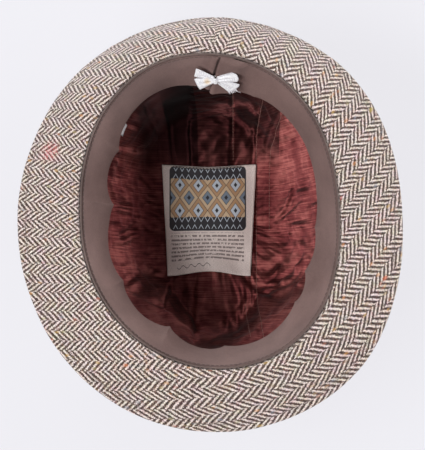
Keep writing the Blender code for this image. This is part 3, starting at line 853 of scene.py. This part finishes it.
# ---- Lining ----
# Creases in the loose satin, each from one place to another: degrees round the hat and millimetres down from
# the crown's rim. width: half across the crease; height: how far its ridge stands up beside its valley
Crease = namedtuple("Crease", "degrees along end_degrees end_along width height")
CREASES = [Crease(*row) for row in (
    (50, 22, 49, 13, 1.6, 1.6), (53, 43, 52, 29, 1.6, 1.6), (20, 77, 17, 53, 1.5, 1.7), (22, 84, 22, 75, 1.3, 1.2),
    (19, 78, 6, 97, 1.8, 1.8), (8, 52, 8, 39, 1.5, 1.4), (3, 103, 11, 76, 1.8, 1.6), (359, 87, 359, 64, 1.6, 1.6),
    (346, 92, 350, 95, 1.5, 1.2), (300, 122, 310, 80, 2.2, 2.0), (313, 86, 330, 70, 2.4, 2.4),
    (322, 66, 334, 60, 2.0, 1.8), (318, 113, 327, 108, 2.4, 2.6), (330, 80, 338, 72, 1.8, 2.0),
    (303, 112, 313, 96, 2.0, 2.2), (320, 94, 327, 84, 2.6, 2.4), (309, 100, 318, 88, 1.7, 1.8),
    (172, 60, 171, 84, 1.5, 1.5), (191, 64, 187, 92, 2.2, 2.0), (142, 52, 131, 92, 1.8, 1.8),
    (147, 50, 148, 58, 1.5, 1.4), (131, 44, 127, 62, 3.4, 1.8), (218, 44, 217, 70, 2.0, 1.8),
    (233, 58, 246, 70, 2.2, 2.0), (260, 132, 265, 50, 3.6, 2.2), (278, 104, 278, 88, 1.5, 1.6),
    (284, 100, 283, 78, 1.6, 1.7), (66, 70, 74, 66, 1.8, 1.8), (61, 62, 66, 52, 1.8, 1.6),
)]
# Seams sewn through the lining: x at the tip and how far they flare by the rim; from and to, in y
Seam = namedtuple("Seam", "x flare start end topstitched")
LINING_SEAMS = [Seam(*row) for row in (
    (31.5, 5.0, -84.0, 82.0, True), (41.0, 9.5, -6.0, 78.0, True), (23.5, 5.0, -82.0, -56.0, True),
    (-31.5, -5.0, -84.0, 82.0, False), (-41.0, -9.5, -30.0, 78.0, False), (15.0, 0.0, 44.0, 88.0, True),
)]
TIP_HEIGHT = 14.0  # of the lining's tip, about
FLARE_HEIGHT = 60.0  # from there, over which a seam flares
LINING_STITCH = 2.4
LINING_RADIUS = 62.0  # of its wall, about
LINING_SLACK = (0.04, 0.11, 0.21, 0.28, 0.21, 0.11, 0.04)  # weights of the places that are averaged along its section
HAMMOCK_RISE, HAMMOCK_LEVEL = 0.22, 42.0  # for each millimetre towards the ends, and where it is as high as the tip


def creased(degrees, along, radius):
    """How far the creases press the satin in and out."""
    total = 0.0
    for crease in CREASES:
        run_round = math.radians(angle_between(crease.end_degrees, crease.degrees)) * LINING_RADIUS
        run_down = crease.end_along - crease.along
        length = math.hypot(run_round, run_down)
        right = np.radians(angle_between(degrees, crease.degrees)) * radius
        below = along - crease.along
        share = (right * run_round + below * run_down) / length**2
        aside = (right * run_down - below * run_round) / length
        fade = bump((share - 0.5) / 0.55)
        ridge = 0.8 * bump((aside - 2.0 * crease.width) / (1.5 * crease.width))
        total = total + crease.height * fade * (ridge - bump(aside / crease.width))
    return total


def seam_x(seam, height):
    """Where a seam of the lining is at a height."""
    return seam.x + seam.flare * np.clip(height - TIP_HEIGHT, 0.0, None) / FLARE_HEIGHT


def lining_folds(degrees, place):
    """How far the satin's face stands in from its plain shape."""
    spot = crown_face(degrees, place)
    x, y, height = (spot[..., axis] for axis in range(3))
    radius = np.linalg.norm(spot[..., :2], axis=-1)
    along = along_section(place)
    local = polar(degrees, LINING_RADIUS, along)
    # flat where the label holds it down, wrinkled in a strip behind that, and smooth beside the strip
    label_side = np.abs(x - LABEL_MIDDLE[0]) - LABEL_BACK_WIDTH / 2.0
    label_end = np.abs(y - LABEL_MIDDLE[1]) - LABEL_LENGTH / 2.0
    flat = eased(1.0 - np.maximum(label_side, label_end) / 4.0)
    strip = eased((x + 12.0 + 0.06 * along) / 2.0) * eased((17.0 - x) / 4.0) * eased((y - 40.0) / 12.0)
    smooth = eased((-9.0 - 0.06 * along - x) / 5.0) * eased((x + 46.0) / 10.0) * eased((y - 30.0) / 14.0)
    calm = (1.0 - smooth) * (1.0 - 0.9 * flat)
    gathers = rough(local * (1.0, 1.0, 0.35), 7.0, 3.0)
    gathers = 0.9 * (0.45 - np.abs(gathers)) * eased((along - 15.0) / 30.0) * (1.0 - strip) * calm
    crumpled = rough(local + 9.0 * rough_vector(local, 30.0, 8.0), 17.0, 9.0)
    crumpled = 1.6 * (0.5 - np.abs(crumpled)) * (1.0 - 0.6 * strip) * calm
    wrinkles = 2.4 * (0.45 - np.abs(rough(local * (0.3, 0.3, 1.0), 4.8, 5.0))) * strip * (1.0 - 0.9 * flat)
    billows = 1.3 * rough(local, 24.0, 4.0) * (1.0 - 0.6 * flat)
    seams = 0.0
    for seam in LINING_SEAMS:
        away = x - seam_x(seam, height)
        beyond = np.clip(seam.start - y, 0.0, None) + np.clip(y - seam.end, 0.0, None)
        seams = seams + (0.5 * bump(away / 2.6) - 0.9 * bump(away / PRESSED_HALF_WIDTH)) * bump(beyond / 3.0)
    folds = billows + gathers + crumpled + wrinkles + creased(degrees, along, radius) + seams + 1.2 * strip
    return np.maximum(folds * eased(radius / 12.0), -0.8)


def lining_base(degrees, place):
    """The satin without its folds. It is slack: it bridges the corner below the wall, and from the front wall to
    the back one it hangs like a hammock."""
    ends = np.abs(np.sin(np.radians(degrees))) ** 3
    reach = (0.3 + 0.5 * ends) * eased((place - 1.0) / 4.0) * eased((LAST_PLACE - 0.1 - place) / 4.0)
    base = sum(
        share * crown_face(degrees, place + (k - 3) * reach, LINING_SECTIONS) for k, share in enumerate(LINING_SLACK)
    )
    hung = TIP_HEIGHT + HAMMOCK_RISE * (np.abs(base[..., 1]) - HAMMOCK_LEVEL)
    base[..., 2] = (base[..., 2] + hung + np.hypot(base[..., 2] - hung, 4.0)) / 2.0
    return base


def lining_plan(degrees, place):
    """Seen straight down, which sets the way the satin's floats run."""
    return lining_base(degrees, place)[..., :2]


def lining_cut(degrees, place):
    """The satin spread flat, along both of the tip's directions from its middle."""
    plan = lining_plan(degrees, place)
    steps = np.linspace(LAST_PLACE, 0.0, 200)
    flat = []
    for axis, way in ((0, 180.0), (1, 90.0)):
        line = lining_base(np.full(len(steps), way), steps)
        spread = np.interp(np.abs(plan[..., axis]), np.abs(line[:, axis]), lengths_along(line))
        flat.append(spread * np.sign(plan[..., axis]))
    return np.stack(flat, axis=-1)


def make_lining(finish):
    """Gives back its surface, for what lies on it and is sewn through it."""
    degrees = np.linspace(0.0, 360.0, 381)
    face = moved_in(lining_base, lining_folds)
    data = laid("satin_lining", face, degrees, even_places(LINING_FROM, 116), cut=lining_cut, plan=lining_plan)
    piece = add_piece(data, finish, "lining_satin", "lining")
    surface = BVHTree.FromObject(piece, bpy.context.evaluated_depsgraph_get())
    give_thickness(piece, LINING_WALL)
    return surface


def on_lining(surface, x, y, above=0.0):
    """The point of the lining over a spot of the plan, or a little above it."""
    start = Vector((x, y, CROWN_HEIGHT)) + Vector(OPENING_MIDDLE)
    place, normal, _, _ = surface.ray_cast(start * MM, Vector((0.0, 0.0, -1.0)))
    if place is None:
        return None
    return np.array(place + normal * math.copysign(above * MM, normal.z)) / MM - OPENING_MIDDLE


def sew_lining(surface, finish):
    """Topstitching along the lining's seams."""
    runs = []
    for seam in (row for row in LINING_SEAMS if row.topstitched):
        line = []
        for y in np.arange(seam.start, seam.end, 0.8):
            x = seam.x
            for _ in range(3):  # the seam flares with the height, which depends on where it is
                spot = on_lining(surface, x, y)
                if spot is None:
                    break
                x = seam_x(seam, spot[2])
            if spot is not None and spot[2] < 84.0:
                line.append(on_lining(surface, x, y, 0.12))
        line = np.array([spot for spot in line if spot is not None])
        lengths = lengths_along(line)
        for start in np.arange(0.0, lengths[-1] - LINING_STITCH, LINING_STITCH):
            run = between(start + np.array([0.0, 0.3, 1.0, 1.7, 2.0]), lengths, line)
            run[[0, -1], 2] -= 0.3
            runs.append(run)
    thread("lining_stitching", runs, 0.16, finish, "lining_satin")


# ---- Sweatband and its piping ----
JOINT_TOP, JOINT_LEAN = 85.9, 3.9  # where the sweatband's upper end lies at its top, and how it slants
UNDERLAP = 5.0
LAP_RISE = 2.4
TURNED_UNDER = 0.9  # how far the fold along the upper end rounds down


def joint_degrees(place):
    """The slanting joint of the sweatband, down its face."""
    return JOINT_TOP + JOINT_LEAN * np.clip(place, 0.0, 1.0)


def band_degrees(share, place):
    """The band runs from its hidden end, round the hat, to the end that lies over the joint."""
    start = JOINT_TOP - UNDERLAP
    return start + share * (joint_degrees(place) + 360.0 - start)


def band_rise(share, place):
    """Towards the head: the end that laps over with its edge turned under, the hollow beside that, and soft
    unevenness."""
    fold = np.clip((share - 0.9978) / 0.0022, 0.0, 1.0) ** 2
    over = (LAP_RISE * eased((share - 0.966) / 0.014) - TURNED_UNDER * fold) * eased(place / 0.1)
    degrees = band_degrees(share, place)
    past = degrees - joint_degrees(place)
    pressed = (0.8 + 0.5 * np.clip(place, 0.0, 1.0)) * (1.0 - eased((past - 0.35) / 0.3))
    hollow = (pressed - 0.8 * bump((past - 1.5) / 1.1)) * eased(place / 0.07)
    uneven = 0.35 * rough(band_face(degrees, place), 22.0, 6.0) * place
    return over - np.where(share < 0.5, hollow, 0.0) + uneven


def band_surface(share, place):
    """The sweatband's face by the share of its length and the place down it."""
    return moved_in(band_face, lambda *_: band_rise(share, place))(band_degrees(share, place), place)


def make_sweatband(finish, stitching):
    """A strip of coated cloth inside the opening, lapped at the back, and the row that sews its top to the hat."""
    share = np.r_[np.linspace(0.0, 0.02, 40), np.linspace(0.02, 0.964, 530)[1:], np.linspace(0.964, 1.0, 60)[1:]]
    place = np.r_[np.linspace(0.0, 0.9, 19), np.linspace(0.9, 1.0, 6)[1:]]
    piece = add_piece(laid("sweatband_strip", band_surface, share, place), finish, "sweatband_cloth", "sweatband")
    give_thickness(piece, BAND_WALL)
    soft_edges(piece, 0.3)
    degrees = np.linspace(JOINT_TOP, JOINT_TOP + 360.0, 900)
    runs = stitches(band_face, degrees, 0.02, 0.15, share=0.8)
    thread("sweatband_stitching", runs, 0.24, stitching, "sweatband_cloth")


def make_piping(finish):
    """The covered cord along the sweatband's top, twisted a little, closed all the way round."""
    degrees = np.linspace(0.0, 360.0, 361)[:-1]
    radius = around("break_radius", degrees) - PIPING_INSET
    height = CROWN_HEIGHT - PIPING_SINK + 0.15 * np.sin(np.radians(degrees) * 90.0)
    piece = thread("piping_cord", [polar(degrees, radius, height)], PIPING_RADIUS, finish, "piping_cloth")
    piece.data.splines[0].use_cyclic_u = True
    piece.data.bevel_resolution = 3
    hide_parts("sweatband_piping")


# ---- Label and size tag ----
LABEL_EDGE_DIP = (2.0, 3.2)  # how far the back and the front edge's middles are drawn in
LABEL_STITCH = 2.4
LABEL_SEAMS = (  # on both sides and at the back, in shares of its width and length from its middle
    ((-0.485, -0.47), (-0.485, 0.485)), ((0.485, -0.47), (0.485, 0.485)), ((-0.485, 0.487), (0.485, 0.487)),
)


def label_width(back):
    """Across the label, at a share of its length from its middle."""
    return LABEL_FRONT_WIDTH + (LABEL_BACK_WIDTH - LABEL_FRONT_WIDTH) * (back + 0.5)


def label_cut(side, back):
    """Millimetres from the label's middle."""
    return np.stack([side * label_width(back), back * LABEL_LENGTH], axis=-1)


def label_plan(side, back):
    """Where a spot of the label lies, seen straight down."""
    dip = np.cos(np.pi * side) ** 2
    drawn = LABEL_EDGE_DIP[1] * eased((-0.1 - back) / 0.4) - LABEL_EDGE_DIP[0] * eased((back - 0.1) / 0.4)
    return LABEL_MIDDLE[0] + side * label_width(back), LABEL_MIDDLE[1] + back * LABEL_LENGTH + dip * drawn


def neighbours(heights):
    """The mean of each height's four neighbours."""
    padded = np.pad(heights, 1, mode="edge")
    return (padded[:-2, 1:-1] + padded[2:, 1:-1] + padded[1:-1, :-2] + padded[1:-1, 2:]) / 4.0


def make_label(surface, finish, stitching):
    """The label, laid on the lining's folds and sewn down on three sides, so that its front edge curls."""
    across = np.linspace(-0.5, 0.5, 67)
    along = np.linspace(-0.5, 0.5, 81)
    heights = np.array([[on_lining(surface, *label_plan(side, back))[2] for side in across] for back in along])
    for _ in range(5):  # the label is stiffer than the satin, so it bridges its small folds
        heights = np.maximum(heights, neighbours(heights))
    for _ in range(6):
        heights = neighbours(heights)

    def lying(side, back):
        """A point of the label's upper face."""
        x, y = label_plan(side, back)
        column = np.rint((side + 0.5) * (len(across) - 1)).astype(int)
        row = np.rint((back + 0.5) * (len(along) - 1)).astype(int)
        curl = 1.2 * eased((-0.42 - back) / 0.08) * (1.0 - np.cos(np.pi * side) ** 2)
        return np.stack([x, y, heights[row, column] + LABEL_GAP + LABEL_WALL + curl], axis=-1)

    piece = add_piece(laid("woven_label", lying, across, along, cut=label_cut), finish, "label_cloth", "label")
    give_thickness(piece, LABEL_WALL)
    runs = []
    for start, end in np.array(LABEL_SEAMS):
        count = int(np.linalg.norm(lying(*end) - lying(*start)) / LABEL_STITCH)
        for k in range(count):
            shares = (k + np.array([0.0, 0.15, 0.4, 0.65, 0.8])) / count
            run = lying(*(start + (end - start) * shares[:, None]).T)
            run[:, 2] += (-0.25, 0.1, 0.14, 0.1, -0.25)
            runs.append(run)
    thread("label_stitching", runs, 0.15, stitching, "label_cloth")


def make_size_tag(finish):
    """A corner of white tape that shows from behind the sweatband."""
    degrees, place = np.linspace(*TAG_DEGREES, 13), np.linspace(*TAG_SPAN, 13)
    behind_band = moved_in(band_face, -BAND_WALL - TAG_STAND_OFF)
    data = laid(
        "size_tag_tape", behind_band, degrees, place,
        cut=lambda degrees, place: np.stack([degrees * 1.4, place * BAND_WIDTH], axis=-1),
    )
    piece = add_piece(data, finish, "white_tape", "size_tag")
    give_thickness(piece, TAG_WALL)


# ---- Ribbon bow ----
def bow_point(across, up, out):
    """A point of the bow from its middle: across, up the sweatband, and out towards the head."""
    turn, tilt = math.radians(BOW_DEGREES), math.radians(BOW_TILT)
    sideways = np.array([math.sin(turn), -math.cos(turn), 0.0])
    upwards = np.array([math.cos(turn) * math.cos(tilt), math.sin(turn) * math.cos(tilt), math.sin(tilt)])
    middle = moved_in(band_face, BOW_STAND_OFF)(np.array(BOW_DEGREES), np.array(BOW_PLACE))
    shares = np.broadcast_arrays(across, up, out)
    directions = (sideways, upwards, np.cross(sideways, upwards))
    return middle + sum(share[..., None] * direction for share, direction in zip(shares, directions))


# Each arm of the bow, from the knot: where its end is, how wide it is there, how much longer its upper and its
# lower edge are, how much its corners are rounded, how far it stands out at the knot and at its end, and whether
# the ribbon turns back under itself
Arm = namedtuple("Arm", "across up end_width lead_up lead_down rounded root lift loop")
ARMS = [Arm(*row) for row in (
    (-12.7, 6.3, 6.2, 1.7, 0.0, 0.0, -0.6, 1.2, False), (-11.7, -3.5, 9.3, 1.3, 0.0, 0.3, 0.6, 0.7, True),
    (14.6, 4.3, 7.4, 0.3, 0.6, 2.2, 0.6, 2.0, True), (12.8, -6.9, 9.4, 2.7, -0.8, 1.4, -0.6, -0.4, False),
)]
FRAYED_ARM = ARMS[-1]
RIBBON_WALL = 0.5
RIBBON_WIDTH, ARM_LENGTH = 8.0, 15.0  # of the flat ribbon, and of an arm in it
KNOT_TURN = 30.0  # degrees round the knot for each millimetre of ribbon
STRANDS = 15
ROOT_WIDTH = 3.0  # of an arm at the knot
KNOT_REACH = 1.2
LOOP_GAP = 1.1
KNOT_RADIUS = 1.5
KNOT_HALF_HEIGHT = 2.3
AGED_SPOT = (-5.5, -1.1)  # across and up from the bow's middle
LOOSE_END = ((12.0, 13.8, 15.4, 17.0), (-7.2, -8.6, -9.9, -10.9), (-0.4, 0.2, -0.4, -1.4))  # across, up and out


def arm_point(arm, side, share):
    """side: across the ribbon from -0.5 to 0.5. share: 0 to 1 out along the arm, and to 2 back under a loop."""
    reach = math.hypot(arm.across, arm.up)
    ahead = np.array([arm.across, arm.up]) / reach
    aside = np.array([-ahead[1], ahead[0]])
    out_along = np.where(share > 1.0, 2.0 - share, share)
    width = ROOT_WIDTH + (arm.end_width - ROOT_WIDTH) * out_along**0.75
    upper = 0.5 + side * np.sign(aside[1])
    lead = (arm.lead_up * upper + arm.lead_down * (1.0 - upper)) * out_along**2
    lead = lead - arm.rounded * np.abs(2.0 * side) ** 3 * out_along**2
    along = KNOT_REACH + (reach - KNOT_REACH) * out_along + lead
    under = np.where(share > 1.0, LOOP_GAP, 0.0) * eased((share - 1.0) / 0.12)
    pleats = 0.45 * np.cos(side * 13.0 + arm.up) * (1.0 - out_along)
    waves = 0.25 * np.sin(side * 5.0 + arm.across) * out_along
    stand = arm.root + (arm.lift - arm.root) * out_along**2 - under + (pleats + waves)
    return bow_point(ahead[0] * along + aside[0] * side * width, ahead[1] * along + aside[1] * side * width, stand)


def knot_point(turn, height):
    """The ribbon wound round the bow's middle."""
    angle = np.radians(turn)
    radius = KNOT_RADIUS * (1.0 + 0.18 * bump(height / 1.6) + 0.08 * np.cos(angle * 7.0 + height))
    return bow_point(radius * np.cos(angle), height, radius * np.sin(angle))


def make_bow(finish, strand_finish):
    """A ribbon tied over the sweatband's joint: two loops, two cut ends, the knot and the strands of the frayed end."""
    parts = []
    for arm in ARMS:
        end = 2.0 if arm.loop else 1.0
        parts.append(laid(
            "arm", partial(arm_point, arm), np.linspace(-0.5, 0.5, 17), np.linspace(0.0, end, int(24 * end) + 1),
            cut=lambda side, share: np.stack([side * RIBBON_WIDTH, share * ARM_LENGTH], axis=-1),
        ))
    parts.append(laid(
        "knot", knot_point, np.linspace(0.0, 360.0, 33), np.linspace(-KNOT_HALF_HEIGHT, KNOT_HALF_HEIGHT, 13),
        cut=lambda turn, height: np.stack([turn / KNOT_TURN, height], axis=-1),
    ))
    mesh = bmesh.new()
    for part in parts:
        mesh.from_mesh(part)
        bpy.data.meshes.remove(part)
    piece = add_piece(
        as_data("ribbon_bow", mesh), finish, "white_tape",
        "ribbon_knot", "ribbon_end_left", "ribbon_loop_left", "ribbon_loop_right", "ribbon_end_right",
    )
    give_thickness(piece, RIBBON_WALL, 0)

    runs = []
    for k in range(STRANDS):  # over half of the ribbon's width
        side = -0.5 + 0.5 * k / (STRANDS - 1)
        root, start = (arm_point(FRAYED_ARM, np.array(side), np.array(share)) for share in (0.8, 0.97))
        forward = (start - root) / np.linalg.norm(start - root)
        reach = random.uniform(0.8, 2.6)
        drift = np.array([random.uniform(-0.7, 0.7), random.uniform(-0.9, 0.2), random.uniform(-0.5, 0.3)])
        shares = np.array([0.0, 0.3, 0.6, 1.0])[:, None]
        runs.append(start + (forward + drift * shares * 0.7) * reach * shares)
    runs.append(bow_point(*map(np.array, LOOSE_END)))
    strands = thread("ribbon_frayed_strands", runs, 0.2, strand_finish, "white_tape")


# ---- The hat ----
make_brim(wool_tweed("wool_tweed"))
sew_brim(sewing_thread("brown_sewing_thread", "#6B5A52"))
make_crown(wool_tweed("wool_tweed_of_the_crown", has_strip=True))
lining_surface = make_lining(ribbed_satin())
sew_lining(lining_surface, sewing_thread("lining_sewing_thread", "#8A5C52"))
make_sweatband(
    coated_band_cloth("coated_band_cloth", "#6A524E", "#856B66"), sewing_thread("dark_sewing_thread", "#4B3D3A")
)
make_piping(coated_band_cloth("coated_piping_cloth", "#52423E", "#6C5A55"))
make_label(lining_surface, damask_label(), sewing_thread("label_sewing_thread", "#CFC2B6"))
GROSGRAIN = white_grosgrain()
make_size_tag(GROSGRAIN)
make_bow(GROSGRAIN, sewing_thread("white_rayon_thread", "#F2F0F5"))


# ---- Stage, light and camera ----
LAMPS_FACE = Vector((0.0, 0.0, 0.06))  # about the middle of the hat, in metres
FLOOR_GAP = 0.3  # below the crown


def make_floor():
    """A paper sweep just below the crown. It glows a little, so that it is near white and shadows on it are soft."""
    mesh = bmesh.new()
    bmesh.ops.create_grid(mesh, x_segments=1, y_segments=1, size=20.0)
    floor = new_object("floor", as_data("floor", mesh))
    floor.location.z = -FLOOR_GAP * MM
    paper, _, _ = new_material(
        "white_paper_sweep", Base_Color="#606064", Roughness=0.9, Emission_Color="#F4F3F8", Emission_Strength=0.79
    )
    floor.data.materials.append(paper)


def add_light(name, side, rise, distance, size, power):
    """A soft box that faces the hat from a side, in degrees round it, and from a height in degrees."""
    lamp = bpy.data.lights.new(name, "AREA")
    lamp.shape = "RECTANGLE"
    lamp.size, lamp.size_y = size
    lamp.energy = power
    made = new_object(name, lamp)
    towards = Vector(polar(side, math.cos(math.radians(rise)), math.sin(math.radians(rise))))
    made.matrix_world = Matrix.Translation(towards * distance + LAMPS_FACE) @ (
        towards.to_track_quat("Z", "Y").to_matrix().to_4x4()
    )


make_floor()
add_light("left_soft_box", 203.0, 52.0, 1.3, (1.2, 0.4), 16.4)
add_light("right_soft_box", 26.0, 34.0, 1.3, (1.2, 0.5), 7.5)
add_light("right_reflector", 345.0, 10.0, 1.4, (1.4, 0.3), 9.0)
add_light("back_reflector", 92.0, 16.0, 1.4, (0.8, 0.4), 10.5)
add_light("front_reflector", 265.0, 20.0, 1.4, (0.8, 0.6), 2.4)
add_light("top_soft_box", 90.0, 80.0, 1.5, (0.6, 0.6), 1.0)

world = bpy.data.worlds.new("studio")
bpy.context.scene.world = world
world.use_nodes = True
wire(world.node_tree.nodes["Background"], {"Color": "#F6F6FA", "Strength": 0.07})
bpy.context.scene.view_settings.view_transform = "Standard"

VIEW_DISTANCE = 900.0  # from the brim's plane
VIEW_TARGET = np.array([1.755, -9.1, CROWN_HEIGHT])
VIEW_LEAN = (1.0, -4.0)  # degrees off the vertical, towards +X and +Y
VIEW_WIDTH = 276.25  # of the brim's plane, from one side of the view to the other
SENSOR_WIDTH = 36.0
towards = Vector((math.tan(math.radians(VIEW_LEAN[0])), math.tan(math.radians(VIEW_LEAN[1])), 1.0)).normalized()
sideways = Vector((0.0, 1.0, 0.0)).cross(towards).normalized()
lens = bpy.data.cameras.new("camera")
lens.sensor_fit = "HORIZONTAL"
lens.sensor_width = SENSOR_WIDTH
lens.lens = SENSOR_WIDTH * VIEW_DISTANCE / VIEW_WIDTH
camera = new_object("camera", lens)
turned = Matrix((sideways, towards.cross(sideways), towards)).transposed().to_4x4()
turned.translation = (Vector(VIEW_TARGET + OPENING_MIDDLE) + towards * VIEW_DISTANCE) * MM
camera.matrix_world = turned
bpy.context.scene.camera = camera

bpy.context.view_layer.update()
